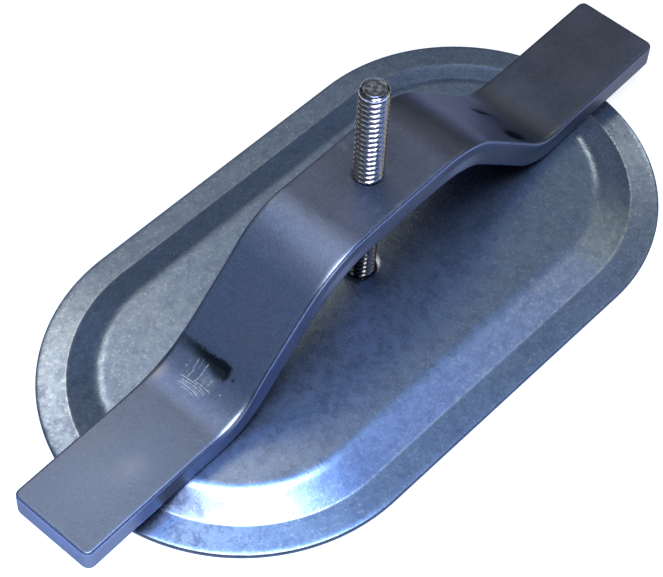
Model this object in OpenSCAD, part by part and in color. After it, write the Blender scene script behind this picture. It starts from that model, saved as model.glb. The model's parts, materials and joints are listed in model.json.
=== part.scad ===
// Obround hand-hole cover with a tapped clamp bar and its bolt.
// Lies on the rim of the cover: z = 0 is the rim's lower edge, and the bolt's axis is the z axis.
// The cover's long axis is along x. Inner side up, so that the bar and the bolt's end point up.

/* [Cover plate] */
// Overall length of the cover
cover_length = 193; // [150:0.5:240]
// Overall width of the cover, which is also the diameter of its round ends
cover_width = 105.2; // [80:0.2:140]
// Thickness of the pressed sheet
sheet = 1.5; // [0.8:0.1:3]
// Width of the sloping rim band, in plan
rim_band = 7.9; // [4:0.1:14]
// Rise of the rim band from the outer edge to the foot of the wall
rim_rise = 0.8; // [0.2:0.1:2]
// Width of the wall between the rim band and the raised centre, in plan
wall_band = 9.1; // [5:0.1:14]
// Rise of the wall up to the raised centre
wall_rise = 4; // [2:0.1:8]
// How far the raised centre is pressed off the middle, along the length
centre_shift = -1.2; // [-3:0.1:3]
// Diameter of the bolt's hole in the cover
cover_hole = 8.1; // [8:0.1:10]

/* [Clamp bar] */
// Length of the bar from end to end
bar_length = 224.2; // [200:0.1:260]
// Width of the bar
bar_width = 25.4; // [18:0.1:32]
// Thickness of the bar
bar_thickness = 7.2; // [5:0.1:9]
// Height of the middle of the bar above its end pads
bar_step = 30.5; // [20:0.5:45]
// Angle of the sloping stretches
bend_angle = 42; // [30:1:55]
// Half the distance between the upper corners of the bends, before rounding
crown_half = 27; // [20:0.5:35]
// Radius on the inside of each bend
bend_radius = 20; // [10:1:24]
// Radius of the bar's corners in plan
corner_radius = 2.2; // [0.5:0.1:4]
// Angle between the bar and the cover's long axis, as the bar lies at rest
bar_yaw = 1.85; // [-5:0.05:5]
// Gap between the bar's pads and the cover at rest
rest_gap = 0.1; // [0.05:0.05:1]

/* [Clamp bolt] */
// Outer diameter of the bolt's thread
thread_diameter = 7.9; // [6:0.05:8]
// Height of the bolt's end above the table
bolt_top = 75.9; // [65:0.1:90]
// Length of the taper at the bolt's end
taper_length = 2.4; // [1:0.1:4]
// Radius of the flat on the bolt's end
tip_radius = 3.5; // [2:0.1:3.8]
// Diameter of the round head
head_diameter = 13.9; // [11:0.1:18]
// Height of the round head
head_height = 4.2; // [2.5:0.1:4.5]
// Size of the head's hexagonal socket across flats
socket_flats = 4.8; // [3:0.1:6]
// Depth of the head's socket
socket_depth = 2.5; // [1:0.1:3]
// Gap between the head and the cover
head_gap = 0.05; // [0.02:0.01:0.2]
// Radial clearance between the bolt and the bar's tapped hole
thread_clearance = 0.05; // [0.02:0.01:0.1]

/* [Hidden] */
$fn = 96;
// Spare length for a cutting shape, so that it passes through a face
over = 1;
// Steps in each rounded bend of the bar
bend_steps = 10;

end_radius = cover_width / 2;
end_centre = cover_length / 2 - end_radius;
wall_foot = end_radius - rim_band;
wall_top = wall_foot - wall_band;
foot_z = sheet + rim_rise;
centre_z = foot_z + wall_rise;
wall_slope = wall_rise / wall_band;
// Height of the wall's sheet measured straight down through it
wall_drop = sheet * sqrt(1 + wall_slope * wall_slope);
pad_z = centre_z + rest_gap;
head_top = centre_z - sheet - head_gap;
dome_radius = (pow(head_diameter / 2, 2) + head_height * head_height) / (2 * head_height);

// A solid with an obround plan: a profile of [radius, height] points turned about each end's centre
// and carried along the straight sides.
module obround(profile) {
    for (side = [-1, 1]) translate([side * end_centre, 0, 0])
        rotate([0, 0, side * 90 - 180]) rotate_extrude(angle = 180) polygon(profile);
    for (side = [0, 1]) mirror([0, side, 0]) translate([-end_centre, 0, 0])
        rotate([90, 0, 90]) linear_extrude(2 * end_centre) polygon(profile);
}

// Everything under the rim band's surface, lowered by drop
module rim_mass(drop, floor_z) {
    obround([[0, floor_z], [end_radius, floor_z], [end_radius, sheet - drop],
             [wall_foot, foot_z - drop], [0, foot_z - drop]]);
}

// Everything under the raised centre's surface, with its wall lowered by drop and its top by top_drop
module centre_mass(drop, top_drop, floor_z) {
    top_z = centre_z - top_drop;
    foot_r = wall_top + (centre_z - drop - floor_z) / wall_slope;
    top_r = wall_top + (centre_z - drop - top_z) / wall_slope;
    translate([centre_shift, 0, 0]) obround([[0, floor_z], [foot_r, floor_z], [top_r, top_z], [0, top_z]]);
}

module cover_plate() {
    color([0.56, 0.61, 0.68]) difference() {
        union() {
            rim_mass(0, 0);
            centre_mass(0, 0, foot_z - rim_rise / 2);
        }
        rim_mass(sheet, -over);
        centre_mass(wall_drop, sheet, -over);
        cylinder(h = centre_z + over, r = cover_hole / 2);
    }
}

// Points of a bend from the angle a0 to a1 about a centre in the x-z plane
function bend_points(cx, cz, r, a0, a1) =
    [for (i = [0 : bend_steps]) let (a = a0 + (a1 - a0) * i / bend_steps) [cx + r * cos(a), cz + r * sin(a)]];

outer_bend = bend_radius + bar_thickness;
crown_z = pad_z + bar_thickness + bar_step;
crown_tangent = crown_half - outer_bend * tan(bend_angle / 2);
pad_corner = crown_half + bar_step / tan(bend_angle);
pad_tangent = pad_corner + bend_radius * tan(bend_angle / 2);
pad_bend_z = pad_z + outer_bend;

// Right half of the bar's side outline, from the crown to the end pad and back underneath
function bar_half() = concat(
    bend_points(crown_tangent, crown_z - outer_bend, outer_bend, 90, 90 - bend_angle),
    bend_points(pad_tangent, pad_bend_z, bend_radius, 270 - bend_angle, 270),
    [[bar_length / 2, pad_z + bar_thickness], [bar_length / 2, pad_z]],
    bend_points(pad_tangent, pad_bend_z, outer_bend, 270, 270 - bend_angle),
    bend_points(crown_tangent, crown_z - outer_bend, bend_radius, 90 - bend_angle, 90));

// The same outline on the left, in the order that closes the whole outline
function bar_other_half() = let (half = bar_half())
    [for (i = [len(half) - 1 : -1 : 0]) [-half[i].x, half[i].y]];

// Outline of the bar from above, with small rounded corners
module bar_plan() {
    inset = [bar_length / 2 - corner_radius, bar_width / 2 - corner_radius];
    square([2 * inset.x, bar_width], center = true);
    square([bar_length, 2 * inset.y], center = true);
    for (sx = [-1, 1], sy = [-1, 1]) translate([sx * inset.x, sy * inset.y]) circle(corner_radius);
}

// The bar's side outline carried across the bar's width and past it
module bar_block() {
    translate([0, bar_width / 2 + over, 0]) rotate([90, 0, 0]) linear_extrude(bar_width + 2 * over)
        polygon(concat(bar_half(), bar_other_half()));
}

module clamp_bar() {
    color([0.33, 0.36, 0.44]) rotate([0, 0, bar_yaw]) difference() {
        intersection() {
            bar_block();
            linear_extrude(crown_z + over) bar_plan();
        }
        cylinder(h = crown_z + over, r = thread_diameter / 2 + thread_clearance);
    }
}

module clamp_bolt() {
    color([0.86, 0.87, 0.9]) difference() {
        union() {
            translate([0, 0, head_top - over / 2])
                cylinder(h = bolt_top - taper_length - head_top + over / 2, r = thread_diameter / 2);
            translate([0, 0, bolt_top - taper_length])
                cylinder(h = taper_length, r1 = thread_diameter / 2, r2 = tip_radius);
            intersection() {
                translate([0, 0, head_top - head_height]) cylinder(h = head_height, r = head_diameter / 2);
                translate([0, 0, head_top - head_height + dome_radius]) sphere(dome_radius);
            }
        }
        translate([0, 0, head_top - head_height - over])
            cylinder(h = socket_depth + over, r = socket_flats / sqrt(3), $fn = 6);
    }
}

cover_plate();
clamp_bar();
clamp_bolt();
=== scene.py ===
import json
import math

import bpy
from mathutils import Matrix, Vector, noise


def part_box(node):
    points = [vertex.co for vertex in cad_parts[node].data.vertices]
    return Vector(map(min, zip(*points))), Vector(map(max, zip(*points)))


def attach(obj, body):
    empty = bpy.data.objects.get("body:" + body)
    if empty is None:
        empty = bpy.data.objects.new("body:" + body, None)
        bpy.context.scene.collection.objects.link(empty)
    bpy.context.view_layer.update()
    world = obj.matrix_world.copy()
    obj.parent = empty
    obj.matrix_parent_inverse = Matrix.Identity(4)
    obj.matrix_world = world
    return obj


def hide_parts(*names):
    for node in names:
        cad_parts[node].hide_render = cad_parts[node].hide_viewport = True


# Lengths are millimetres in the CAD frame until mesh_piece turns them into metres. The floor and the lights
# are in metres from the start.
MM = 0.001

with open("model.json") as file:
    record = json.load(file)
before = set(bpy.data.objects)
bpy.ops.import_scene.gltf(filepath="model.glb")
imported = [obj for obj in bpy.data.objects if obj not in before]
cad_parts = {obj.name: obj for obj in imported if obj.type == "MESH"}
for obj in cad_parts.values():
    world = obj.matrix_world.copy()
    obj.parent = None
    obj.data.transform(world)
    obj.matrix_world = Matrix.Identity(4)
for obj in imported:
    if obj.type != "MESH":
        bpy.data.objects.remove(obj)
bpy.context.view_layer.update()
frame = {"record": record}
record = frame["record"]


def box_mm(node):
    """Lowest and highest corner of a CAD node, in millimetres."""
    low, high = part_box(node)
    return low / MM, high / MM


_, cover_high = box_mm("cover_plate")
bar_low, bar_high = box_mm("clamp_bar")
_, bolt_high = box_mm("clamp_bolt")


# ---------------------------- mesh helpers

def smooth_step(low, high, x):
    """0 below low, 1 above high, and a smooth rise between them."""
    t = min(1.0, max(0.0, (x - low) / (high - low)))
    return t * t * (3 - 2 * t)


def bump(x, centre, half_width):
    """A smooth hill of height 1 at centre that reaches 0 at half_width from it."""
    return smooth_step(0, 1, 1 - abs(x - centre) / half_width)


def ring_faces(first, second):
    """Quads between two closed rings of vertex numbers with equal counts."""
    count = len(first)
    return [
        (first[i], first[(i + 1) % count], second[(i + 1) % count], second[i])
        for i in range(count)
    ]


def numbered(rings):
    """The points of rings with equal counts, one ring after another, and each ring's vertex numbers."""
    count = len(rings[0])
    points = [p for ring in rings for p in ring]
    return points, [list(range(i * count, (i + 1) * count)) for i in range(len(rings))]


def mesh_piece(name, points, faces, sharp_angle):
    """A smooth-shaded mesh object from points in millimetres, with hard edges past sharp_angle."""
    mesh = bpy.data.meshes.new(name)
    mesh.from_pydata([Vector(p) * MM for p in points], [], faces)
    mesh.validate()
    mesh.shade_smooth()
    mesh.set_sharp_from_angle(angle=sharp_angle)
    piece = bpy.data.objects.new(name, mesh)
    bpy.context.scene.collection.objects.link(piece)
    return piece


def store(piece, name, values):
    """Keeps one number per vertex on the mesh, where a material can read it."""
    attribute = piece.data.attributes.new(name, "FLOAT", "POINT")
    attribute.data.foreach_set("value", values)


# ---------------------------- pressed cover

# The CAD's dimensions: the sheet, its rim band and wall in plan, and the bolt's hole.
SHEET = 1.5
RIM_BAND = 7.9
RIM_RISE = 0.8
WALL_BAND = 9.1
CENTRE_SHIFT = -1.2
COVER_HOLE_R = 4.05
# What the CAD leaves out: the radii of the pressed creases and of the cut rim, the gap between the cut rim's
# rings and the next ring in, and the breaks at the hole's edges, outwards and downwards.
FLOOR_CREASE_R = 9.0
FOOT_CREASE_R = 1.2
RIM_EDGE_R = 0.45
EDGE_CLEAR = 0.3
HOLE_BREAK = 0.3
BORE_BREAK = 0.25
# The painted highlight line at the foot of the wall: half its full-strength width, and how wide it fades.
PRESS_HALF = 0.2
PRESS_LINE = 0.3
# The cut edge's dark colour, partly raw steel and partly painted shade, starts and ends this far inside the
# rim.
CUT_START = 0.35
CUT_END = 0.1
# The sheet's unevenness: its mean, a long wave, a short ripple, and where it grows, from the hole outwards.
SAG = 0.10
WAVE = 0.10
RIPPLE = 0.03
SEAT_R = (8, 18)
# Width of the flat centre's outer band, which has rings of its own.
FLAT_MARGIN = 14
# Steps of the mesh round the obround, across the flat centre, in each crease and round the cut edge.
ARC_STEPS = 96
SIDE_STEPS = 40
FLAT_RINGS = 30
FLOOR_CREASE_STEPS = 14
FOOT_CREASE_STEPS = 8
EDGE_STEPS = 6

end_radius = cover_high.y
end_centre = cover_high.x - end_radius
wall_foot = end_radius - RIM_BAND
wall_top = wall_foot - WALL_BAND
foot_z = SHEET + RIM_RISE
centre_z = cover_high.z


def fillet(before, corner, after, radius, steps):
    """Points of an arc of that radius that rounds one corner of a line."""
    u = (before - corner).normalized()
    v = (after - corner).normalized()
    half = u.angle(v) / 2
    reach = radius / math.tan(half)
    centre = corner + (u + v).normalized() * radius / math.sin(half)
    start = corner + u * reach - centre
    end = corner + v * reach - centre
    turn = start.angle(end)
    whole = math.sin(turn)
    points = []
    for i in range(steps + 1):
        t = i / steps
        a = math.sin((1 - t) * turn) / whole
        b = math.sin(t * turn) / whole
        points.append(centre + start * a + end * b)
    return points


def spaced(first, last, steps):
    """Points that divide a straight line, both ends included."""
    return [first.lerp(last, i / steps) for i in range(steps + 1)]


def stepped(first, last, distance):
    """The point at a distance from the first point towards the last."""
    return first.lerp(last, distance / (last - first).length)


def cover_profile():
    """The sheet's upper surface from the flat centre to the rim, as [radius, height] points with normals."""
    floor_start = Vector((wall_top - FLAT_MARGIN, centre_z))
    floor_end = Vector((wall_top, centre_z))
    foot = Vector((wall_foot, foot_z))
    rim = Vector((end_radius, SHEET))
    crease = fillet(floor_start, floor_end, foot, FLOOR_CREASE_R, FLOOR_CREASE_STEPS)
    foot_crease = fillet(floor_end, foot, rim, FOOT_CREASE_R, FOOT_CREASE_STEPS)
    before = stepped(foot_crease[0], crease[-1], PRESS_LINE)
    after = stepped(foot_crease[-1], rim, PRESS_LINE)
    line = spaced(floor_start, crease[0], 8)
    line += crease[1:]
    line += spaced(crease[-1], before, 8)[1:]
    line += foot_crease
    line += spaced(after, rim, 9)
    line.insert(-1, stepped(rim, after, 2 * RIM_EDGE_R))
    normals = []
    for i, point in enumerate(line):
        ahead = line[min(i + 1, len(line) - 1)]
        behind = line[max(i - 1, 0)]
        along = (ahead - behind).normalized()
        normals.append(Vector((-along.y, along.x)))
    return line, normals


def loop_directions():
    """Around an obround: for each point the side of the end centre and the outward direction."""
    stops = []
    for side in (1, -1):
        first = -90 if side > 0 else 90
        for i in range(ARC_STEPS):
            angle = math.radians(first + 180 * i / ARC_STEPS)
            stops.append((side, Vector((math.cos(angle), math.sin(angle)))))
        for i in range(SIDE_STEPS):
            stops.append((side * (1 - 2 * i / SIDE_STEPS), Vector((0, side))))
    return stops


LOOP = loop_directions()


def obround_ring(radius, z, shift=0.0):
    """A ring of points round the cover at one height, moved along the cover by shift."""
    return [
        Vector((side * end_centre + shift + out.x * radius, out.y * radius, z))
        for side, out in LOOP
    ]


def hole_ring(radius, z):
    """A circle with its points at the same angles from the middle as the obround's."""
    ring = []
    for p in obround_ring(wall_top, z):
        out = Vector((p.x, p.y)).normalized()
        ring.append(Vector((out.x * radius, out.y * radius, z)))
    return ring


def unevenness(p):
    """How far the raised centre lies below its ideal surface at a point. It is true round the hole."""
    wave = noise.noise(Vector((p.x / 38, p.y / 30, 2.0)))
    ripple = noise.noise(Vector((p.x / 15, p.y / 15, 7.0)))
    raised = smooth_step(foot_z, centre_z, p.z)
    off_seat = smooth_step(*SEAT_R, p.to_2d().length)
    return (SAG + WAVE * wave + RIPPLE * ripple) * raised * off_seat


def cover_side(down):
    """Rings of the upper (down = 0) or the lower side of the sheet, from the hole to the rim's edge."""
    line, normals = cover_profile()
    rings = []
    floor_z = centre_z - down
    inner = obround_ring(line[0].x, floor_z, CENTRE_SHIFT)
    hole = hole_ring(COVER_HOLE_R + HOLE_BREAK, floor_z)
    for i in range(FLAT_RINGS):
        t = i / FLAT_RINGS
        rings.append([a.lerp(b, t) for a, b in zip(hole, inner)])
    for point, normal in zip(line, normals):
        place = point - normal * down
        share = 1 - smooth_step(wall_top, wall_foot, point.x)
        rings.append(obround_ring(place.x, place.y, CENTRE_SHIFT * share))
    return rings


def rim_edge():
    """Rings round the rim's cut edge, from the upper side to the lower."""
    rings = []
    for i in range(EDGE_STEPS + 1):
        angle = math.radians(90 - 180 * i / EDGE_STEPS)
        half = 1 if i <= EDGE_STEPS / 2 else -1
        z = SHEET / 2 + (SHEET / 2 - RIM_EDGE_R) * half
        z += RIM_EDGE_R * math.sin(angle)
        rings.append(obround_ring(end_radius - RIM_EDGE_R + RIM_EDGE_R * math.cos(angle), z))
    return rings


def from_spine(p):
    """Distance in plan from the line between the two end centres."""
    return math.hypot(max(0.0, abs(p.x) - end_centre), p.y)


def press_line(p):
    """1 along the foot of the wall, where a highlight line is painted, and 0 away from it."""
    return 1 - smooth_step(PRESS_HALF, PRESS_HALF + PRESS_LINE, abs(from_spine(p) - wall_foot))


def cut_edge(p):
    """1 on the rim's cut edge and 0 further in."""
    return smooth_step(end_radius - CUT_START, end_radius - CUT_END, from_spine(p))


def uneven_side(down, limit):
    """The rings of one side that lie inside the rim's edge, with the sheet's unevenness."""
    rings = [ring for ring in cover_side(down) if ring[0].to_2d().length < limit]
    for ring in rings:
        for p in ring:
            p.z -= unevenness(p)
    return rings


def build_cover():
    """The sheet as rings, from the hole over the upper side and the rim's edge and back underneath."""
    edge = rim_edge()
    limit = edge[0][0].to_2d().length - EDGE_CLEAR
    top = uneven_side(0, limit)
    under = uneven_side(SHEET, limit)
    bore_ends = (centre_z - SHEET + BORE_BREAK, centre_z - BORE_BREAK)
    bore = [hole_ring(COVER_HOLE_R, z) for z in bore_ends]
    rings = bore + top + edge + under[::-1]
    points, numbers = numbered(rings)
    faces = []
    for a, b in zip(numbers, numbers[1:] + numbers[:1]):
        faces += ring_faces(b, a)
    piece = mesh_piece("pressed_cover", points, faces, math.radians(60))
    inner_count = (len(bore) + len(top)) * len(LOOP)
    store(piece, "inner_side", [1.0 if i < inner_count else 0.0 for i in range(len(points))])
    store(piece, "press_line", [press_line(p) for p in points])
    store(piece, "cut_edge", [cut_edge(p) for p in points])
    return piece


# ---------------------------- thread of the bolt and of the bar's hole

PITCH = 1.75
THREAD_R = 3.95
THREAD_DEPTH = 1.0
# Radial gap between the bolt's thread and the bar's.
THREAD_GAP = 0.1
# Half the width of the flat crest, and how far its corners and the root's are rounded.
CREST_HALF = 0.11
CORNER_EASE = 0.1
# Fall of the flank for each millimetre along the bolt, with the flanks 60 degrees apart.
FLANK_RISE = math.sqrt(3)


def eased(x, limit):
    """Follows x above 0 and below limit and stays at those two, with rounded corners."""
    if x > limit / 2:
        return limit - eased(limit - x, limit)
    if x < -CORNER_EASE:
        return 0.0
    if x < CORNER_EASE:
        return (x + CORNER_EASE) ** 2 / (4 * CORNER_EASE)
    return x


def thread_radius(angle, z):
    """Radius of the bolt's right-handed thread, with its flanks 60 degrees apart."""
    turn = z / PITCH - angle / (2 * math.pi)
    from_crest = abs((turn + 0.5) % 1 - 0.5) * PITCH
    return THREAD_R - eased(FLANK_RISE * (from_crest - CREST_HALF), THREAD_DEPTH)


# ---------------------------- bent clamp bar

# The CAD's dimensions. CROWN_HALF is half the distance between the upper corners before rounding.
BAR_THICKNESS = 7.2
BAR_WIDTH = 25.4
BEND = math.radians(42)
BEND_R = 20.0
CROWN_HALF = 27.0
PLAN_CORNER_R = 2.2
# What the CAD leaves out: the rounded long edges, and the break at the mouths of the tapped hole.
EDGE_R = 0.8
MOUTH_BREAK = 0.08
# Depths of the press marks at the near and the far foot, and of the hollow that each foot bend has across it.
NEAR_PRESS = 0.32
FAR_PRESS = 0.28
FOOT_HOLLOW = 0.16
# How bright the worn edges, which are partly a painted highlight, are at most.
EDGE_WEAR_AND_HIGHLIGHT = 0.4
# How far from its two faces the bar still has their finish.
UPPER_DEPTH = 1.2
UNDER_DEPTH = 0.3
# Steps of the mesh in the hole, along the bar, across its faces, in its corners and down its sides.
BORE_STEPS = 56
STATION_STEP = 0.75
ACROSS_STEPS = 42
CORNER_STEPS = 5
SIDE_ROWS = 8
END_STEPS = 8
# Half the size of the square window in each face that the hole's rings start from.
WINDOW_HALF = 8.4

half_thickness = BAR_THICKNESS / 2
half_width = BAR_WIDTH / 2
mid_r = BEND_R + half_thickness
outer_r = BEND_R + BAR_THICKNESS
pad_z = bar_low.z
crown_z = bar_high.z
bar_step = crown_z - pad_z - BAR_THICKNESS
crown_flat = CROWN_HALF - outer_r * math.tan(BEND / 2)
pad_tangent = CROWN_HALF + bar_step / math.tan(BEND) + BEND_R * math.tan(BEND / 2)
slope_start = Vector((crown_flat + mid_r * math.sin(BEND), crown_z - outer_r + mid_r * math.cos(BEND)))
slope_end = Vector((pad_tangent - mid_r * math.sin(BEND), pad_z + outer_r - mid_r * math.cos(BEND)))
slope_length = (slope_end - slope_start).length
bend_length = mid_r * BEND
shoulder_mid = crown_flat + bend_length / 2
foot_start = crown_flat + bend_length + slope_length
foot_mid = foot_start + bend_length / 2
pad_start = foot_start + bend_length


def mount_place(name):
    """Where the record puts a mount."""
    found = next(m for m in record["mounts"] if m["name"] == name)
    return Vector(found["pos_m"]) / MM


def bar_yaw():
    """The bar's angle to the cover's long axis, from its two pads."""
    along = mount_place("pad_plus_x") - mount_place("pad_minus_x")
    return math.atan2(along.y, along.x)


YAW = bar_yaw()
# The turned bar's box reaches to a rounded corner, and that corner's centre gives the bar's length.
corner_x = bar_high.x - PLAN_CORNER_R
bar_half_length = (corner_x - (half_width - PLAN_CORNER_R) * math.sin(YAW)) / math.cos(YAW) + PLAN_CORNER_R
station_end = pad_start + bar_half_length - pad_tangent


def centre_line(station):
    """Place and slope angle of the bar's mid plane at a distance along it from the bolt."""
    s = abs(station)
    if s <= crown_flat:
        place, slope = Vector((s, crown_z - half_thickness)), 0.0
    elif s <= crown_flat + bend_length:
        slope = (s - crown_flat) / mid_r
        place = Vector((crown_flat + mid_r * math.sin(slope), crown_z - outer_r + mid_r * math.cos(slope)))
    elif s <= foot_start:
        slope = BEND
        place = slope_start.lerp(slope_end, (s - crown_flat - bend_length) / slope_length)
    elif s <= pad_start:
        slope = BEND - (s - foot_start) / mid_r
        place = Vector((pad_tangent - mid_r * math.sin(slope), pad_z + outer_r - mid_r * math.cos(slope)))
    else:
        slope = 0.0
        place = Vector((pad_tangent + s - pad_start, pad_z + half_thickness))
    return place, slope


def bar_point(station, across, up):
    """The point at a station, across the bar's width and up from its mid plane, before the bar is turned."""
    place, slope = centre_line(station)
    side = 1 if station >= 0 else -1
    x = place.x + up * math.sin(slope)
    z = place.y + up * math.cos(slope)
    return Vector((side * x, across, z))


def swelling(station, up):
    """How far bending has pushed the bar's side out. On the outside of a bend the side draws in."""
    s = abs(station)
    level = up / half_thickness
    above = max(level, 0)
    below = min(level, 0)
    foot = bump(s, foot_mid, bend_length * 0.95) * (0.62 * above + 0.30 * below)
    shoulder = bump(s, shoulder_mid, bend_length * 0.95) * (-0.30 * above - 0.55 * below)
    return foot + shoulder


def noise_at(x, y, z, size):
    """Noise from -1 to 1 whose features are about size across."""
    return noise.noise(Vector((x / size, y / size, z / size)))


def press_depth(station, across):
    """Depth of the marks that the bending tool left: a line at the near foot, two dents at the far one."""
    ragged = 0.9 * noise_at(station, across, 3.0, 1.4) + 0.5 * noise_at(station, across, 9.0, 0.6)
    if station < 0:
        off_line = -station - (foot_start + 0.3 * ragged)
        reach = smooth_step(-4.8, -3.4, across) * (1 - 0.7 * smooth_step(5.0, 12.0, across))
        return NEAR_PRESS * math.exp(-(off_line / 1.5) ** 2) * reach
    upper = bump(across, 3.6, 2.4) * bump(station, 58.6, 5.5)
    lower = bump(across, -8.6, 3.6) * bump(station, 56.5, 6.5)
    return FAR_PRESS * (upper + lower) * (1 + 0.5 * ragged)


def edge_wear_and_highlight(station, across, up):
    """Brightness of the worn upper edge on the near side, at the near foot bend and the near shoulder: partly
    real wear and partly a painted highlight.
    """
    if station > 0:
        return 0.0
    corner = smooth_step(half_width - 1.5, half_width - 0.2, -across) * smooth_step(0.2, half_thickness, up)
    foot = bump(-station, foot_mid + 0.5, 8.5)
    shoulder = 0.8 * bump(-station, shoulder_mid + 1.5, 7.5)
    return EDGE_WEAR_AND_HIGHLIGHT * corner * (foot + shoulder)


def arc_inset(distance, radius):
    """How far an edge rounded to a radius draws in, at a distance from where it ends."""
    if distance >= radius:
        return 0.0
    return radius - math.sqrt(radius ** 2 - (radius - distance) ** 2)


def section_points():
    """The bar's cross-section as (across, up): the upper face and one side, and both again upside down."""
    points = []
    span = half_width - EDGE_R
    rise = half_thickness - EDGE_R
    for i in range(ACROSS_STEPS + 1):
        points.append((-span + 2 * span * i / ACROSS_STEPS, half_thickness))
    for i in range(1, CORNER_STEPS):
        a = math.radians(90 * i / CORNER_STEPS)
        points.append((span + EDGE_R * math.sin(a), rise + EDGE_R * math.cos(a)))
    for i in range(SIDE_ROWS + 1):
        points.append((half_width, rise - 2 * rise * i / SIDE_ROWS))
    for i in range(1, CORNER_STEPS):
        a = math.radians(90 * i / CORNER_STEPS)
        points.append((span + EDGE_R * math.cos(a), -rise - EDGE_R * math.sin(a)))
    return points + [(-v, -w) for v, w in points]


SECTION = section_points()
HALF_COUNT = len(SECTION) // 2


def bar_stations():
    """Distances along the bar, closer together in the last stretch, where its corners round off."""
    plain_end = station_end - PLAN_CORNER_R
    steps = round(plain_end / STATION_STEP)
    half = [plain_end * i / steps for i in range(steps)]
    for i in range(END_STEPS + 1):
        half.append(plain_end + PLAN_CORNER_R * math.sin(math.radians(90 * i / END_STEPS)))
    return [-s for s in half[:0:-1]] + half


def bar_section_ring(station):
    """One ring of (station, across, up) places, with the bends' swelling and the marks in it."""
    from_end = station_end - abs(station)
    side = arc_inset(from_end, PLAN_CORNER_R)
    face = arc_inset(from_end, EDGE_R)
    ring = []
    for v, w in SECTION:
        across = v * (half_width - side) / half_width
        up = w * (half_thickness - face) / half_thickness
        across += math.copysign(swelling(station, up), v) * smooth_step(0.75, 1.0, abs(v) / half_width)
        if w == half_thickness:
            raised = FOOT_HOLLOW * bump(abs(station), foot_mid, bend_length)
            up -= press_depth(station, across) - raised * (across / half_width) ** 2
        ring.append((station, across, up))
    return ring


def bore_rings(top_loop, under_loop):
    """Places that lead from the window in the upper face through the tapped hole to the one beneath."""
    def circle(loop, up, wider):
        """The hole's thread at one height, with a point in the direction of each point of the window."""
        ring = []
        for station, across, _ in loop:
            angle = math.atan2(across, station)
            radius = thread_radius(angle + YAW, crown_z - half_thickness + up) + THREAD_GAP + wider
            ring.append((radius * math.cos(angle), radius * math.sin(angle), up))
        return ring

    def between(first, second, t):
        return [tuple(a + (b - a) * t for a, b in zip(p, q)) for p, q in zip(first, second)]

    top_mouth = circle(top_loop, half_thickness, MOUTH_BREAK)
    under_mouth = circle(under_loop, -half_thickness, MOUTH_BREAK)
    rings = [between(top_loop, top_mouth, t) for t in (0.3, 0.6, 0.85, 1.0)]
    depth = half_thickness - MOUTH_BREAK
    for i in range(BORE_STEPS + 1):
        rings.append(circle(top_loop, depth - 2 * depth * i / BORE_STEPS, 0))
    rings += [between(under_mouth, under_loop, t) for t in (0.0, 0.15, 0.4, 0.7)]
    return rings


def build_bar():
    """The bar as sections along its mid plane, with the tapped hole let into a window in each face."""
    stations = bar_stations()
    places = [place for s in stations for place in bar_section_ring(s)]
    count = len(SECTION)
    number = [[i * count + j for j in range(count)] for i in range(len(stations))]
    rows = [i for i, s in enumerate(stations) if abs(s) < WINDOW_HALF]
    columns = [j for j in range(ACROSS_STEPS + 1) if abs(SECTION[j][0]) < WINDOW_HALF]
    low_row, high_row = rows[0], rows[-1]
    low_column, high_column = columns[0], columns[-1]
    faces = []
    for i in range(len(stations) - 1):
        for j in range(count):
            in_window = low_column <= j % HALF_COUNT < high_column
            if in_window and low_row <= i < high_row:
                continue
            k = (j + 1) % count
            faces.append((number[i][j], number[i + 1][j], number[i + 1][k], number[i][k]))

    def window_loop(column_of):
        """The vertex numbers round a window, with column_of giving the column on its own face."""
        loop = [number[low_row][column_of(j)] for j in columns[:-1]]
        loop += [number[i][column_of(high_column)] for i in rows[:-1]]
        loop += [number[high_row][column_of(j)] for j in columns[:0:-1]]
        loop += [number[i][column_of(low_column)] for i in rows[:0:-1]]
        return loop

    top_loop = window_loop(lambda j: j)
    under_loop = window_loop(lambda j: HALF_COUNT + ACROSS_STEPS - j)
    loops = [top_loop]
    for ring in bore_rings([places[n] for n in top_loop], [places[n] for n in under_loop]):
        loops.append(list(range(len(places), len(places) + len(ring))))
        places += ring
    loops.append(under_loop)
    for a, b in zip(loops, loops[1:]):
        faces += ring_faces(b, a)
    faces.append(tuple(number[0]))
    faces.append(tuple(reversed(number[-1])))
    turn = Matrix.Rotation(YAW, 3, "Z")
    points = [turn @ bar_point(*place) for place in places]
    piece = mesh_piece("bent_clamp_bar", points, faces, math.radians(50))
    store(piece, "upper", [1.0 if up > half_thickness - UPPER_DEPTH else 0.0 for _, _, up in places])
    store(piece, "beneath", [1.0 if up < UNDER_DEPTH - half_thickness else 0.0 for _, _, up in places])
    store(piece, "worn_edge_and_highlight", [edge_wear_and_highlight(s, v, w) for s, v, w in places])
    store(piece, "along", [s for s, _, _ in places])
    store(piece, "across", [v for _, v, _ in places])
    return piece


# ---------------------------- threaded bolt

# The CAD's dimensions.
TAPER_LENGTH = 2.4
TIP_R = 3.5
HEAD_HEIGHT = 4.2
HEAD_GAP = 0.05
SOCKET_FLATS = 4.8
SOCKET_DEPTH = 2.5
# What the CAD leaves out: the rounded tip, the cut end's dip and roughness, the head's eased edge, and the
# bevel round the socket.
TIP_ROUND = 0.8
END_DIP = 0.04
END_ROUGH = 0.06
HEAD_EASE = 0.22
SOCKET_BEVEL = 0.75
# The neck under the thread: how much thinner it is, and where above the head the thread grows out of it.
NECK_CUT = 0.5
NECK_SPAN = (0.4, 2.0)
# Steps of the mesh round the bolt, for each turn of thread and over the domed head.
ROUND_STEPS = 96
STEPS_PER_PITCH = 16
DOME_STEPS = 14

head_r = bolt_high.x
head_top = centre_z - SHEET - HEAD_GAP
head_low = head_top - HEAD_HEIGHT
dome_r = (head_r ** 2 + HEAD_HEIGHT ** 2) / (2 * HEAD_HEIGHT)
bolt_end = bolt_high.z


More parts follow.
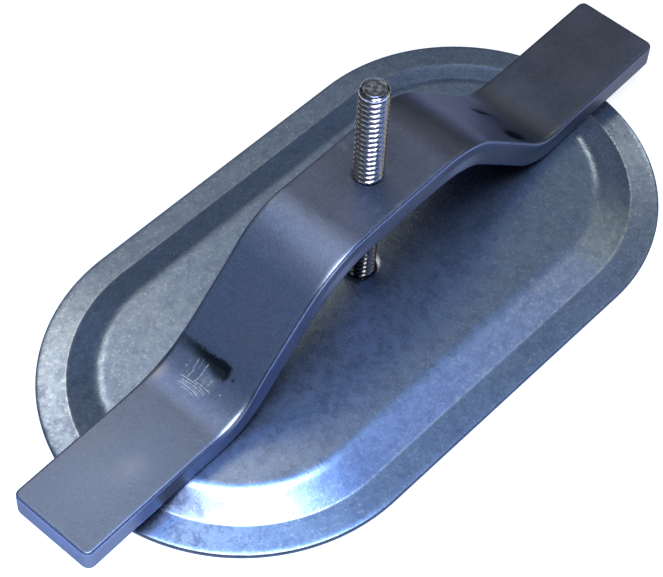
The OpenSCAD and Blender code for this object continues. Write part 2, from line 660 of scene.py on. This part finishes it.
def bolt_ring(z, radius_at):
    """A ring of points at one height, with the radius given by the angle."""
    ring = []
    for i in range(ROUND_STEPS):
        angle = 2 * math.pi * i / ROUND_STEPS
        radius = radius_at(angle)
        ring.append(Vector((radius * math.cos(angle), radius * math.sin(angle), z)))
    return ring


def round_ring(z, radius):
    """A ring of points in a circle."""
    return bolt_ring(z, lambda angle: radius)


def shank_ring(z):
    """A ring of the thread, which runs out into the taper at the free end and into the neck by the head."""
    from_end = bolt_end - z
    envelope = THREAD_R
    if from_end < TAPER_LENGTH:
        envelope = TIP_R + (THREAD_R - TIP_R) * from_end / TAPER_LENGTH
    if from_end < TIP_ROUND:
        lost = TIP_ROUND - from_end
        envelope -= TIP_ROUND - math.sqrt(TIP_ROUND ** 2 - lost ** 2)
    neck = 1 - smooth_step(*NECK_SPAN, z - head_top)

    def radius_at(angle):
        return min(envelope, thread_radius(angle, z) * (1 - neck) + (THREAD_R - NECK_CUT) * neck)

    return bolt_ring(z, radius_at)


def hexagon(flats):
    """The radius of a hexagon at an angle, by its size across flats."""
    def radius_at(angle):
        within = (angle + math.pi / 6) % (math.pi / 3) - math.pi / 6
        return flats / 2 / math.cos(within)

    return radius_at


def end_ring(radius, height_lost):
    """A ring of the cut end face, which is a little rough."""
    ring = round_ring(bolt_end - height_lost, radius)
    for p in ring:
        p.z -= END_ROUGH * abs(noise_at(p.x, p.y, 4.0, 1.1)) * smooth_step(0, 1, radius)
    return ring


def head_rings():
    """Rings from the middle of the socket's floor, out over the domed head and in to the shank."""
    socket_floor = head_low + SOCKET_DEPTH
    mouth = SOCKET_FLATS / 2 + SOCKET_BEVEL
    mouth_z = head_low + dome_r - math.sqrt(dome_r ** 2 - mouth ** 2)
    rings = [
        round_ring(socket_floor + 0.5, 0.15),
        bolt_ring(socket_floor, hexagon(SOCKET_FLATS - 0.7)),
        bolt_ring(socket_floor, hexagon(SOCKET_FLATS - 0.05)),
        bolt_ring(socket_floor - 0.05, hexagon(SOCKET_FLATS)),
        bolt_ring(mouth_z + 0.35, hexagon(SOCKET_FLATS)),
        round_ring(mouth_z + 0.05, mouth - 0.12),
    ]
    edge_angle = math.asin(min(1.0, head_r / dome_r))
    mouth_angle = math.asin(mouth / dome_r)
    for i in range(DOME_STEPS):
        angle = mouth_angle + (edge_angle - 0.06 - mouth_angle) * i / (DOME_STEPS - 1)
        rings.append(round_ring(head_low + dome_r - dome_r * math.cos(angle), dome_r * math.sin(angle)))
    rings.append(round_ring(head_top - HEAD_EASE, head_r))
    rings.append(round_ring(head_top - 0.06, head_r - 0.06))
    rings.append(round_ring(head_top, head_r - HEAD_EASE))
    rings.append(round_ring(head_top, THREAD_R - 0.1))
    return rings


def build_bolt():
    """The bolt as rings, from the head's socket up the thread to the cut end."""
    rings = head_rings()
    shank_steps = round((bolt_end - head_top) / PITCH * STEPS_PER_PITCH)
    shank_first = head_top + 0.25
    for i in range(shank_steps):
        rings.append(shank_ring(shank_first + (bolt_end - 0.12 - shank_first) * i / (shank_steps - 1)))
    rings.append(shank_ring(bolt_end - END_DIP))
    rings.append(end_ring(TIP_R - 0.64, 0.0))
    for share in (0.78, 0.66, 0.54, 0.38, 0.22, 0.08):
        rings.append(end_ring(TIP_R * share, END_DIP))
    points, numbers = numbered(rings)
    faces = []
    for a, b in zip(numbers, numbers[1:]):
        faces += ring_faces(a, b)
    faces.append(tuple(reversed(numbers[0])))
    faces.append(tuple(numbers[-1]))
    piece = mesh_piece("threaded_bolt", points, faces, math.radians(35))
    crest_r = THREAD_R - 0.25
    root_r = THREAD_R - THREAD_DEPTH
    store(piece, "root", [1 - smooth_step(root_r, crest_r, p.to_2d().length) for p in points])
    store(piece, "end_face", [smooth_step(bolt_end - 0.11, bolt_end - 0.05, p.z) for p in points])
    return piece


# ---------------------------- materials

# The share of its half width over which a stroke is solid, and where its ends fade, inside and past them.
STROKE_CORE = 0.3
STROKE_FADE = 0.6
STROKE_OVER = 0.4


class Shader:
    """Builds one material node by node. It is metal unless its Metallic is set to something else."""

    def __init__(self, name):
        self.material = bpy.data.materials.new(name)
        self.material.use_nodes = True
        self.tree = self.material.node_tree
        self.surface = self.tree.nodes["Principled BSDF"]
        self.even("Metallic", 1.0)

    def even(self, name, value):
        """Sets a value that is the same all over the surface."""
        self.feed(self.surface.inputs[name], value)

    def feed(self, socket, value):
        """Gives a socket a value, a colour without its alpha, or a link from another node's output."""
        if isinstance(value, bpy.types.NodeSocket):
            self.tree.links.new(value, socket)
        elif socket.type == "RGBA":
            socket.default_value = (*value, 1.0)
        else:
            socket.default_value = value

    def add(self, kind, inputs=None, **settings):
        """Adds a node with its settings and what feeds its inputs."""
        made = self.tree.nodes.new(kind)
        for key, value in settings.items():
            setattr(made, key, value)
        for key, value in (inputs or {}).items():
            self.feed(made.inputs[key], value)
        return made

    def number(self, name):
        """A number kept on the mesh."""
        return self.add("ShaderNodeAttribute", attribute_name=name).outputs["Fac"]

    def place(self, stretch=(1, 1, 1)):
        """The place on the object in millimetres, squeezed along each axis by stretch."""
        where = self.add("ShaderNodeTexCoord").outputs["Object"]
        scale = tuple(1 / MM / s for s in stretch)
        return self.add("ShaderNodeMapping", {"Vector": where, "Scale": scale}).outputs["Vector"]

    def grain(self, place, size, detail=2.0, roughness=0.5):
        """Soft noise from 0 to 1 whose features are about size across."""
        inputs = {"Vector": place, "Scale": 1 / size, "Detail": detail, "Roughness": roughness}
        return self.add("ShaderNodeTexNoise", inputs).outputs["Fac"]

    def cells(self, place, size):
        """One random number for each small cell, as in a fine crystal pattern."""
        inputs = {"Vector": place, "Scale": 1 / size}
        colour = self.add("ShaderNodeTexVoronoi", inputs).outputs["Color"]
        return self.add("ShaderNodeSeparateColor", {"Color": colour}).outputs["Red"]

    def maths(self, operation, *values, clamp=False):
        """The result of an operation on values or other nodes' outputs."""
        made = self.add("ShaderNodeMath", dict(enumerate(values)), operation=operation, use_clamp=clamp)
        return made.outputs[0]

    def times(self, first, second):
        return self.maths("MULTIPLY", first, second)

    def plus(self, first, second, clamp=False):
        return self.maths("ADD", first, second, clamp=clamp)

    def minus(self, first, second, clamp=False):
        return self.maths("SUBTRACT", first, second, clamp=clamp)

    def spread(self, value, low, high, out_low=0.0, out_high=1.0):
        """Maps a stretch of values to another, held at both ends."""
        inputs = {"Value": value, "From Min": low, "From Max": high, "To Min": out_low, "To Max": out_high}
        return self.add("ShaderNodeMapRange", inputs, clamp=True).outputs["Result"]

    def mix(self, factor, first, second):
        """The first colour where factor is 0 and the second where it is 1."""
        made = self.add("ShaderNodeMix", {0: factor, 6: first, 7: second}, data_type="RGBA")
        return made.outputs[2]

    def stroke(self, u, v, at, first, last, width, slant, bend=0.0):
        """A thin line at u = at, from v = first to v = last. It may slant, or bend about its middle."""
        shift = self.minus(v, (first + last) / 2)
        lean = self.times(shift, self.plus(self.times(shift, bend), slant))
        off = self.maths("ABSOLUTE", self.minus(self.minus(u, at), lean))
        core = self.spread(off, width * STROKE_CORE, width, 1.0, 0.0)
        half = abs(last - first) / 2
        ends = self.spread(self.maths("ABSOLUTE", shift), half - STROKE_FADE, half + STROKE_OVER, 1.0, 0.0)
        return self.times(core, ends)

    def spot(self, u, v, at, reach, soft=0.5):
        """A round patch about a place, from 1 inside to 0 past its reach."""
        across = self.maths("DIVIDE", self.minus(u, at[0]), reach[0])
        along = self.maths("DIVIDE", self.minus(v, at[1]), reach[1])
        squares = self.plus(self.times(across, across), self.times(along, along))
        return self.spread(self.maths("SQRT", squares), 1 - soft, 1.0, 1.0, 0.0)

    def total(self, values, clamp=False):
        """The sum of several values."""
        result = values[0]
        for value in values[1:]:
            result = self.plus(result, value, clamp)
        return result

    def relief(self, height, distance):
        """A bump whose height of 1 is distance millimetres."""
        inputs = {"Height": height, "Distance": distance * MM}
        return self.add("ShaderNodeBump", inputs).outputs["Normal"]

    def finish(self, links):
        """Links outputs to the surface's sockets, named as the shader names them."""
        for name, value in links.items():
            self.feed(self.surface.inputs[name], value)
        return self.material


# Scratches in the zinc as (x, from y, to y, slant), all by the foot of the near wall, and one nick.
ZINC_SCRATCHES = [(-53.0, -36.0, -33.0, 0.25), (-51.6, -35.0, -33.4, 0.3), (-55.2, -34.0, -32.2, -0.2)]
ZINC_NICK = ((28.5, -35.2), (0.7, 0.5))
# Painted blue light on the near half: its middle and its reach.
ZINC_PAINTED_BLUE_LIGHT = ((-34, -18), (84, 25))
# Between these two places along x the stains thin out.
STAIN_SPAN = (-88, -70)

ZINC_DARK = (0.23, 0.33, 0.58)
ZINC_PALE = (0.39, 0.51, 0.80)
ZINC_CLOUD = (0.37, 0.47, 0.68)
ZINC_LIGHT_BLUE = (0.44, 0.59, 1.0)
ZINC_STAIN = (0.18, 0.24, 0.45)
ZINC_SPECK = (0.72, 0.78, 0.86)
ZINC_SCRATCH = (0.85, 0.88, 0.95)
ZINC_CREASE_HIGHLIGHT = (0.66, 0.76, 1.0)
ZINC_CUT_SHADE = (0.05, 0.045, 0.04)


def zinc_material():
    """Galvanised sheet: fine crystals, clouds, painted blue light on the near half, stains, specks, a few
    scratches on the inner side, a painted highlight line at the foot of the wall, and a dark cut edge that is
    partly painted shade."""
    s = Shader("zinc_sheet")
    s.even("Metallic", 0.93)
    place = s.place()
    x, y, _ = s.add("ShaderNodeSeparateXYZ", {"Vector": place}).outputs
    crystals = s.cells(place, 0.9)
    fine = s.grain(place, 0.75, 2.0, 0.6)
    flakes = s.grain(place, 1.7, 2.0, 0.55)
    clouds = s.grain(place, 26.0, 3.0, 0.55)
    shade = s.total([s.times(crystals, 0.12), s.times(fine, 0.48), s.times(flakes, 0.40)])
    colour = s.mix(s.spread(shade, 0.36, 0.66), ZINC_DARK, ZINC_PALE)
    colour = s.mix(s.spread(clouds, 0.35, 0.68, 0.0, 0.3), colour, ZINC_CLOUD)
    # Painted blue light over the near half.
    colour = s.mix(s.times(s.spot(x, y, *ZINC_PAINTED_BLUE_LIGHT, 1.0), 0.95), colour, ZINC_LIGHT_BLUE)
    stains = s.spread(s.grain(place, 3.6, 4.0, 0.72), 0.48, 0.60, 0.0, 1.0)
    colour = s.mix(s.times(stains, s.spread(x, *STAIN_SPAN, 0.95, 0.38)), colour, ZINC_STAIN)
    specks = s.spread(s.grain(place, 0.75, 1.0), 0.66, 0.74)
    colour = s.mix(s.times(specks, 0.5), colour, ZINC_SPECK)
    marks = [s.stroke(x, y, at, first, last, 0.18, slant) for at, first, last, slant in ZINC_SCRATCHES]
    marks.append(s.spot(x, y, *ZINC_NICK))
    marks = s.times(s.total(marks, clamp=True), s.number("inner_side"))
    colour = s.mix(s.times(marks, 0.5), colour, ZINC_SCRATCH)
    # A painted highlight line along the crease at the foot of the wall.
    crease_highlight = s.times(s.number("press_line"), s.spread(flakes, 0.35, 0.6, 0.15, 0.65))
    colour = s.mix(crease_highlight, colour, ZINC_CREASE_HIGHLIGHT)
    # The cut edge is painted dark: partly raw steel, partly painted shade.
    cut = s.times(s.number("cut_edge"), 0.9)
    colour = s.mix(cut, colour, ZINC_CUT_SHADE)
    rough = s.plus(s.spread(flakes, 0.3, 0.7, 0.30, 0.26), s.times(cut, 0.3))
    height = s.total([s.times(fine, 0.5), s.times(flakes, 1.0)])
    return s.finish({"Base Color": colour, "Roughness": rough, "Normal": s.relief(height, 0.016)})


# Scuffs beside the near press mark. Arcs are (along, from across, to across, strength), and the short
# lines are (across, from along, to along, slant, strength). Flecks are (along, across).
SCUFF_ARCS = [
    (-68.5, -2.8, 2.0, 1.0), (-69.1, -1.8, 6.4, 0.85), (-69.9, -1.9, 5.4, 0.9), (-70.6, -0.8, 5.6, 0.5),
    (-71.2, -0.8, 5.9, 0.75), (-72.0, 0.2, 5.2, 0.45),
]
SCUFF_LINES = [
    (4.7, -66.2, -62.4, 0.06, 0.8), (4.5, -68.9, -66.0, -0.2, 0.8), (2.0, -68.3, -62.4, -0.04, 0.95),
    (-1.3, -67.8, -65.0, -0.06, 0.8), (3.6, -65.2, -62.0, 0.0, 0.4), (0.3, -68.4, -66.2, 0.05, 0.5),
]
SCUFF_FLECKS = [(-67.4, -5.3), (-64.6, 6.7), (-66.4, 6.6), (-67.7, 5.6), (-68.4, 2.4), (-68.2, -2.2)]
FLECK_REACH = (0.4, 0.3)
ARC_BEND = -0.03


def near_mark(s, along, across):
    """Darkness of the band that the bending tool pressed across the near foot."""
    wider = s.spread(across, -1.0, 2.5, 1.0, 0.0)
    upper = s.spread(s.minus(along, s.times(wider, 0.5)), -59.9, -59.1, 1.0, 0.0)
    lower = s.spread(s.plus(along, wider), -63.9, -61.9)
    side = s.spread(across, -4.7, -3.7)
    fade = s.spread(across, 4.0, 12.6, 1.0, 0.35)
    band = s.times(s.times(upper, lower), s.times(side, fade))
    return s.total([band, s.spot(along, across, (-61.7, -6.0), (0.9, 0.6), 0.8)], clamp=True)


def far_marks(s, along, across):
    """Darkness of the two marks at the far foot."""
    lean = s.plus(across, s.times(s.minus(along, 58.6), 0.24))
    streak = s.spot(along, lean, (58.6, 3.6), (6.6, 1.7), 0.8)
    wedge = s.spot(along, across, (56.8, -8.4), (7.0, 3.5), 0.7)
    return s.total([streak, s.times(wedge, 1.25)], clamp=True)


def scuffs(s, along, across):
    """Brightness of the scuffs beside the near mark: arcs, short lines, flecks and a haze."""
    parts = []
    for at, first, last, strength in SCUFF_ARCS:
        parts.append(s.times(s.stroke(along, across, at, first, last, 0.21, 0.0, ARC_BEND), strength))
    for at, first, last, slant, strength in SCUFF_LINES:
        parts.append(s.times(s.stroke(across, along, at, first, last, 0.19, slant), strength))
    for at in SCUFF_FLECKS:
        parts.append(s.spot(along, across, at, FLECK_REACH, 0.9))
    haze = s.spot(along, across, (-66.4, -0.4), (2.6, 3.4), 0.7)
    parts.append(s.times(haze, 0.26))
    return s.total(parts, clamp=True)


# Faint pale rubs on the crown near the bolt and on the near pad, as places (along, across) and reaches.
PALE_RUBS = [
    ((2.5, 10.4), (1.6, 2.0)), ((-6.3, -4.5), (2.2, 0.8)), ((-7.1, -9.2), (2.0, 0.7)),
    ((-2.1, -11.8), (2.2, 0.6)), ((-8.8, -11.6), (2.4, 0.5)), ((-110.0, -2.4), (0.9, 0.9)),
    ((-98.0, -3.0), (7.0, 5.0)),
]
# Zones of painted light and shade on the bar as place, reach, weight and colour: a painted sheen on the near
# pad, a painted highlight on a stretch of the crown, a painted highlight past the far foot, and painted shade
# on the far pad.
BAR_PAINTED_LIGHT_ZONES = [
    ((-104, 0), (34, 30), 0.5, (0.27, 0.35, 0.55)),
    ((23, -2), (15, 22), 0.5, (0.25, 0.27, 0.39)),
    ((71, 0), (10, 30), 0.6, (0.27, 0.31, 0.40)),
    ((102, 0), (34, 30), 0.42, (0.10, 0.105, 0.115)),
]
# A painted reflection on a stretch of the near side, and a warm painted reflection beside the near scuffs.
SIDE_PAINTED_REFLECTION = ((-87, -12.7), (16, 8))
WARM_PAINTED_REFLECTION = ((-72.5, 11.3), (4.2, 2.4))
# How far soft noise shifts every mark, and how far rough noise shifts the dark ones' and the rubs' outlines.
MARK_WAVER = 0.5
MARK_RAGGED = 2.2

BAR_DARK = (0.122, 0.150, 0.250)
BAR_PALE = (0.191, 0.230, 0.352)
BAR_CLOUD = (0.180, 0.192, 0.262)
SIDE_REFLECTION_GREY = (0.185, 0.195, 0.225)
SIDE_REFLECTION_PALE = (0.38, 0.43, 0.50)
UNDER_PAINTED_SHADE = (0.035, 0.033, 0.025)
PIT_DARK = (0.04, 0.04, 0.06)
RUB_PALE = (0.38, 0.41, 0.56)
REFLECTION_WARM = (0.42, 0.34, 0.33)
MARK_DARK = (0.012, 0.014, 0.016)
SCUFF_BRIGHT = (0.80, 0.83, 0.95)
BAR_EDGE_TINT = (0.40, 0.40, 0.45)


def bar_finish(s, upper, along, across, shade, clouds):
    """The bar's colour without its marks: grain, clouds, zones of painted light and shade, side faces painted
    greyer with a painted reflection on the near one, and an underside painted dark as shade.
    """
    colour = s.mix(shade, BAR_DARK, BAR_PALE)
    colour = s.mix(s.spread(clouds, 0.4, 0.7, 0.0, 0.4), colour, BAR_CLOUD)
    # Zones of painted light and shade.
    for at, reach, weight, tone in BAR_PAINTED_LIGHT_ZONES:
        colour = s.mix(s.times(s.spot(along, across, at, reach, 1.0), weight), colour, tone)
    beneath = s.number("beneath")
    side = s.minus(1.0, s.maths("MAXIMUM", upper, beneath), clamp=True)
    # The side faces are painted greyer, standing in for less blue reflected light.
    colour = s.mix(s.times(side, 0.75), colour, SIDE_REFLECTION_GREY)
    # A painted reflection on the near side face.
    side_reflection = s.times(side, s.spot(along, across, *SIDE_PAINTED_REFLECTION, 1.0))
    colour = s.mix(s.times(side_reflection, 0.7), colour, SIDE_REFLECTION_PALE)
    # The underside is painted dark as shade.
    return s.mix(s.times(beneath, 0.9), colour, UNDER_PAINTED_SHADE)


def bar_material():
    """Dark hot-rolled bar: fine grain, zones of painted light and shade, pits, press marks, scuffs, pale
    rubs, painted reflections, and worn edges that are partly a painted highlight.
    """
    s = Shader("bar_steel")
    s.even("Specular Tint", BAR_EDGE_TINT)
    place = s.place()
    upper = s.number("upper")
    fine = s.grain(place, 0.6, 3.0, 0.6)
    coarse = s.grain(place, 1.8, 3.0, 0.6)
    clouds = s.grain(place, 14.0, 3.0, 0.55)
    waver = s.minus(s.grain(place, 2.4, 2.0, 0.5), 0.5)
    ragged = s.minus(s.grain(place, 0.9, 3.0, 0.7), 0.5)
    along = s.plus(s.number("along"), s.times(waver, MARK_WAVER))
    across = s.plus(s.number("across"), s.times(waver, MARK_WAVER))
    rough_along = s.plus(along, s.times(ragged, MARK_RAGGED))
    rough_across = s.plus(across, s.times(ragged, MARK_RAGGED))
    shade = s.spread(s.total([s.times(fine, 0.65), s.times(coarse, 0.35)]), 0.33, 0.67)
    colour = bar_finish(s, upper, along, across, shade, clouds)
    pits = s.spread(s.grain(place, 0.7, 1.0), 0.26, 0.21)
    colour = s.mix(s.times(pits, 0.6), colour, PIT_DARK)
    rubs = [s.spot(rough_along, rough_across, at, reach, 0.9) for at, reach in PALE_RUBS]
    colour = s.mix(s.times(s.total(rubs, clamp=True), s.times(upper, 0.35)), colour, RUB_PALE)
    # A warm painted reflection beside the near scuffs.
    warm_reflection = s.times(s.spot(along, across, *WARM_PAINTED_REFLECTION, 0.9), s.times(upper, 0.45))
    colour = s.mix(warm_reflection, colour, REFLECTION_WARM)
    dark = [near_mark(s, rough_along, rough_across), far_marks(s, rough_along, rough_across)]
    colour = s.mix(s.times(s.total(dark, clamp=True), s.times(upper, 0.88)), colour, MARK_DARK)
    broken = s.spread(s.grain(place, 0.7, 2.0), 0.38, 0.6, 0.35, 1.0)
    bright = s.times(s.times(scuffs(s, along, across), upper), broken)
    # The worn edges are partly real wear and partly a painted highlight.
    bright = s.plus(bright, s.number("worn_edge_and_highlight"), clamp=True)
    colour = s.mix(bright, colour, SCUFF_BRIGHT)
    rough = s.minus(s.spread(clouds, 0.3, 0.7, 0.36, 0.43), s.times(bright, 0.08))
    height = s.total([s.times(fine, 0.8), s.times(coarse, 0.4)])
    return s.finish({"Base Color": colour, "Roughness": rough, "Normal": s.relief(height, 0.04)})


# Painted shade: the thread is painted dark below the bar's underside at rest, where the bar shades it. It
# fades over this length under that height, and the painted shade starts this far above the head.
shade_top = crown_z - BAR_THICKNESS
SHADE_FADE = 8
SHADE_START = 2

BOLT_DARK = (0.33, 0.34, 0.40)
BOLT_PALE = (0.48, 0.49, 0.56)
# The next two colours are painted shade: one for the thread's roots, and one for the thread under the bar.
ROOT_PAINTED_SHADE = (0.03, 0.035, 0.06)
THREAD_PAINTED_SHADE = (0.035, 0.034, 0.028)
END_DARK = (0.13, 0.15, 0.20)
END_PALE = (0.40, 0.43, 0.55)


def bolt_material():
    """Bright thread with painted shade in its roots and on its lower half under the bar, and a rough mottled
    cut end.
    """
    s = Shader("bolt_steel")
    place = s.place()
    fine = s.grain(place, 0.5, 3.0, 0.6)
    turned = s.grain(s.place((40, 40, 0.25)), 1.0, 2.0)
    colour = s.mix(s.spread(fine, 0.3, 0.7), BOLT_DARK, BOLT_PALE)
    # Painted shade in the thread's roots.
    colour = s.mix(s.times(s.number("root"), 0.85), colour, ROOT_PAINTED_SHADE)
    z = s.add("ShaderNodeSeparateXYZ", {"Vector": place}).outputs[2]
    # Painted shade on the thread below the bar. It fades upwards and stays off the head.
    under_bar_shade = s.spread(z, shade_top - SHADE_FADE, shade_top, 0.65, 0.0)
    under_bar_shade = s.times(under_bar_shade, s.spread(z, head_top, head_top + SHADE_START))
    colour = s.mix(under_bar_shade, colour, THREAD_PAINTED_SHADE)
    end = s.number("end_face")
    mottled = s.mix(s.spread(s.grain(place, 1.3, 3.0, 0.65), 0.45, 0.62), END_DARK, END_PALE)
    colour = s.mix(end, colour, mottled)
    rough = s.spread(end, 0.0, 1.0, 0.13, 0.40)
    height = s.plus(s.times(fine, 0.7), s.times(turned, 0.3))
    return s.finish({"Base Color": colour, "Roughness": rough, "Normal": s.relief(height, 0.02)})


# ---------------------------- camera, floor and light

CAMERA_AZIMUTH = -49.79
CAMERA_ELEVATION = 53.46
CAMERA_ROLL = 3.78
CAMERA_TARGET = (-8.09, 2.55, 1.5)
CAMERA_DISTANCE = 532.81
CAMERA_LENS = 109.75
SENSOR = 36.0


def direction(azimuth, elevation):
    """The unit vector towards something seen at that azimuth and elevation, in degrees."""
    a = math.radians(azimuth)
    e = math.radians(elevation)
    return Vector((math.sin(a) * math.cos(e), -math.cos(a) * math.cos(e), math.sin(e)))


def make_camera():
    """The camera, which looks along a line through its target and is rolled about that line."""
    data = bpy.data.cameras.new("camera")
    data.lens = CAMERA_LENS
    data.sensor_width = SENSOR
    data.clip_start = 0.01
    camera = bpy.data.objects.new("camera", data)
    bpy.context.scene.collection.objects.link(camera)
    back = direction(CAMERA_AZIMUTH, CAMERA_ELEVATION)
    right = Vector((back.y, -back.x, 0)).normalized() * -1
    up = back.cross(right)
    roll = math.radians(CAMERA_ROLL)
    turned_right = right * math.cos(roll) + up * math.sin(roll)
    turned_up = up * math.cos(roll) - right * math.sin(roll)
    axes = Matrix((turned_right, turned_up, back)).transposed().to_4x4()
    place = (Vector(CAMERA_TARGET) + back * CAMERA_DISTANCE) * MM
    camera.matrix_world = Matrix.Translation(place) @ axes
    bpy.context.scene.camera = camera


FLOOR_HALF = 4.0
FLOOR_GREY = (0.25, 0.25, 0.25)
# The floor's glow is bluer on the near side. It changes across a slanting line, and fades with distance.
GLOW_NEAR = (1.15, 1.45, 2.2)
GLOW_FAR = (0.86, 0.87, 0.90)
GLOW_SLANT = 0.6
GLOW_SPAN = (-0.07, 0.05)
FADE_SPAN = (0.2, 0.75)
FADE_SHARE = 0.35


def floor_material():
    """A matt floor that glows, so that the camera sees it as plain white."""
    s = Shader("floor")
    s.even("Metallic", 0.0)
    s.even("Base Color", FLOOR_GREY)
    s.even("Roughness", 0.9)
    s.even("Specular IOR Level", 0.1)
    where = s.add("ShaderNodeTexCoord").outputs["Object"]
    x, y, _ = s.add("ShaderNodeSeparateXYZ", {"Vector": where}).outputs
    glow = s.mix(s.spread(s.maths("MULTIPLY_ADD", x, GLOW_SLANT, y), *GLOW_SPAN), GLOW_NEAR, GLOW_FAR)
    reach = s.add("ShaderNodeVectorMath", {0: where}, operation="LENGTH").outputs["Value"]
    fade = s.spread(reach, *FADE_SPAN, 1.0, FADE_SHARE)
    return s.finish({"Emission Color": glow, "Emission Strength": fade})


def make_floor():
    mesh = bpy.data.meshes.new("floor")
    corners = [(x * FLOOR_HALF, y * FLOOR_HALF, 0) for x, y in ((-1, -1), (1, -1), (1, 1), (-1, 1))]
    mesh.from_pydata(corners, [], [(0, 1, 2, 3)])
    floor = bpy.data.objects.new("floor", mesh)
    bpy.context.scene.collection.objects.link(floor)
    mesh.materials.append(floor_material())


LIGHT_DISTANCE = 1.3


def area_light(name, azimuth, elevation, size, power, colour, height=None):
    """A soft light that faces the object from a direction. It is square unless it has a height."""
    data = bpy.data.lights.new(name, "AREA")
    data.shape = "RECTANGLE"
    data.size = size
    data.size_y = height or size
    data.energy = power
    data.color = colour
    light = bpy.data.objects.new(name, data)
    towards = direction(azimuth, elevation)
    light.location = towards * LIGHT_DISTANCE
    light.rotation_mode = "QUATERNION"
    light.rotation_quaternion = towards.to_track_quat("Z", "Y")
    bpy.context.scene.collection.objects.link(light)


# The surround's colour at some heights, from 0 at the horizon to 1 straight up.
SKY = [
    (0.0, (0.02, 0.03, 0.03)),
    (0.17, (0.02, 0.03, 0.03)),
    (0.42, (0.03, 0.04, 0.05)),
    (0.64, (0.18, 0.17, 0.12)),
    (0.82, (0.145, 0.135, 0.095)),
    (0.94, (0.03, 0.07, 0.11)),
    (1.0, (0.80, 1.75, 2.8)),
]


def make_sky():
    """A dim surround with a soft warm band high up and a bright bluish top, as in a room lit from above."""
    world = bpy.data.worlds.new("studio")
    world.use_nodes = True
    nodes = world.node_tree.nodes
    links = world.node_tree.links
    coordinates = nodes.new("ShaderNodeTexCoord")
    split = nodes.new("ShaderNodeSeparateXYZ")
    ramp = nodes.new("ShaderNodeValToRGB")
    links.new(coordinates.outputs["Generated"], split.inputs[0])
    links.new(split.outputs["Z"], ramp.inputs["Fac"])
    links.new(ramp.outputs["Color"], nodes["Background"].inputs["Color"])
    ramp.color_ramp.elements[0].position = SKY[0][0]
    ramp.color_ramp.elements[1].position = SKY[-1][0]
    for height, _ in SKY[1:-1]:
        ramp.color_ramp.elements.new(height)
    for element, (_, colour) in zip(ramp.color_ramp.elements, SKY):
        element.color = (*colour, 1)
    bpy.context.scene.world = world


# Lights as (name, azimuth, elevation, width, power, colour), with the height last where it isn't the width.
LIGHTS = [
    ("top_light", -45, 77, 0.62, 8.8, (1.04, 1.0, 1.06)),
    ("top_left_light", -110, 76, 0.4, 0.95, (0.83, 1.0, 0.85)),
    ("top_right_light", 10, 76, 0.4, 2.5, (0.64, 1.0, 1.5)),
    ("back_light", 158, 63, 0.50, 0.66, (1.2, 1.0, 0.66)),
    ("back_mid_light", 150, 43, 0.45, 0.10, (1.1, 1.0, 0.75)),
    ("back_low_light", 168, 52, 0.30, 0.62, (1.2, 1.0, 0.68)),
    ("left_light", 250, 40, 0.7, 0.75, (0.66, 1.0, 1.4)),
    ("near_right_light", 30, 50, 0.6, 0.26, (0.5, 1.0, 2.6)),
    ("right_light", 60, 42, 0.8, 0.42, (1.22, 1.0, 0.5), 0.5),
    ("low_lamp", 102, 34, 0.12, 0.31, (1.15, 1.0, 0.66)),
    ("low_back_light", 180, 22, 0.5, 0.07, (0.8, 1.0, 1.2)),
]

make_camera()
make_floor()
make_sky()
for light in LIGHTS:
    area_light(*light)
bpy.context.scene.view_settings.view_transform = "Standard"

PIECES = [
    (build_cover, "cover_plate", "cover", "zinc_sheet", zinc_material),
    (build_bar, "clamp_bar", "bar", "bar_steel", bar_material),
    (build_bolt, "clamp_bolt", "bolt", "bolt_steel", bolt_material),
]
for build, node, body, slot, material in PIECES:
    piece = build()
    piece.data.materials.append(material())
    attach(piece, body)
    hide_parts(node)
